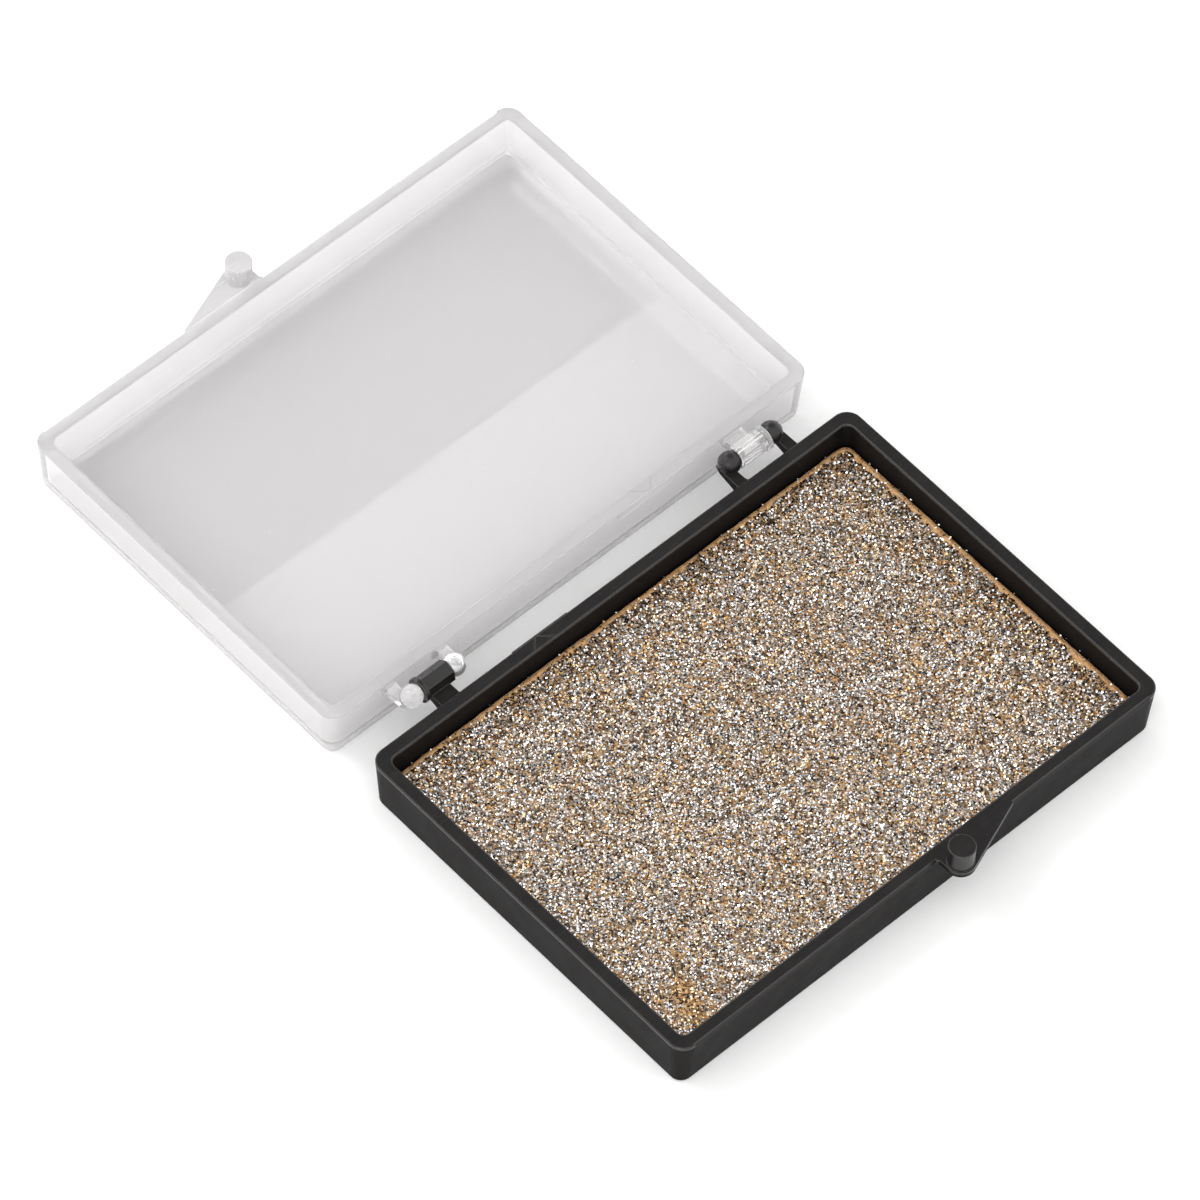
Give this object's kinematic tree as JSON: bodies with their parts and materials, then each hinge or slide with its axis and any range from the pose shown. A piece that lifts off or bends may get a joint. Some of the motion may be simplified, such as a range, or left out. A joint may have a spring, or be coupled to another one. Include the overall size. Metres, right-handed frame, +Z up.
{
  "type": "ink pad",
  "caption": "Ink pad for paper crafts: a glitter-faced foam pad in a black tray with a clear hinged lid of the same shape, lying open.",
  "frame": {"origin": "Middle of the black tray's flat underside.", "axes": "+X along the hinge, +Y from the latch side to the hinge side and on to the open lid, +Z up out of the tray."},
  "size_m": [0.096, 0.1522, 0.0138],
  "materials": {
    "black_plastic": "gloss",
    "adhesive_sheet": "matte",
    "foam": "matte",
    "glitter": "sparkling",
    "clear_plastic": "gloss",
    "label_paper": "matte"
  },
  "bodies": {
    "base": {"base_tray": "black_plastic", "pad_adhesive": "adhesive_sheet", "pad_foam": "foam", "glitter_layer": "glitter"},
    "lid_body": {"lid": "clear_plastic", "lid_label": "label_paper"}
  },
  "joints": [
    {"name": "lid_hinge", "type": "hinge", "parent": "base", "child": "lid_body", "pos_m": [0, 0.0378, 0.01003], "axis": [1, 0, 0], "range_deg": [0, 180]}
  ]
}
